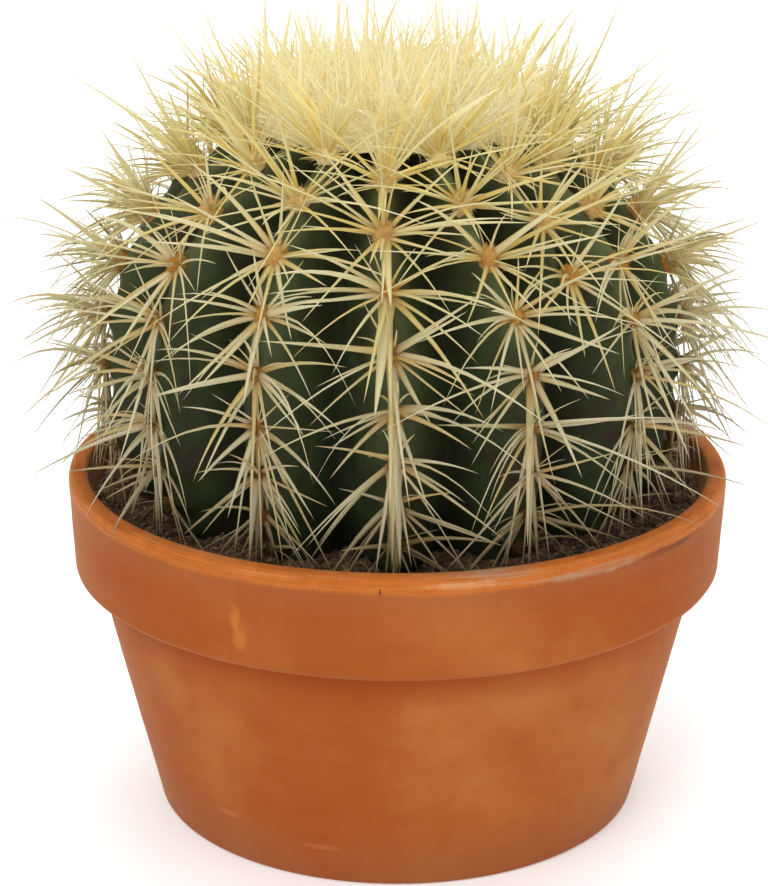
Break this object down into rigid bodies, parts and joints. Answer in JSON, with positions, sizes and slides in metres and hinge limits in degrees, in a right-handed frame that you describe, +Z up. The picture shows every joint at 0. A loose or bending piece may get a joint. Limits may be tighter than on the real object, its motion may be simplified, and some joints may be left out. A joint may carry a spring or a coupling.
{
  "type": "potted round cactus",
  "caption": "Globe-shaped ribbed cactus with dense straw-coloured spines, rooted in soil in a low terracotta pot with a collar. A decorative live plant that stands on a flat surface.",
  "frame": {"origin": "centre of the pot's base, on the surface that the pot stands on", "axes": "+Z up along the pot's axis, -Y towards the front, +X to the right seen from the front"},
  "size_m": [0.2074, 0.2128, 0.2182],
  "materials": {
    "terracotta": "matt unglazed fired clay",
    "soil": "dark crumbly potting soil with fibres",
    "flesh": "waxy dark green skin",
    "spine": "straw-coloured horny spines, orange-brown at the foot",
    "wool": "pale yellow wool"
  },
  "bodies": {
    "root": {"pot": "terracotta", "soil": "soil", "cactus_body": "flesh", "spine_row_01": "spine", "spine_row_02": "spine", "spine_row_03": "spine", "spine_row_04": "spine", "spine_row_05": "spine", "spine_row_06": "spine", "spine_row_07": "spine", "spine_row_08": "spine", "spine_row_09": "spine", "spine_row_10": "spine", "spine_row_11": "spine", "spine_row_12": "spine", "spine_row_13": "spine", "spine_row_14": "spine", "spine_row_15": "spine", "crown_spines": "spine", "crown_wool": "wool"}
  },
  "joints": []
}
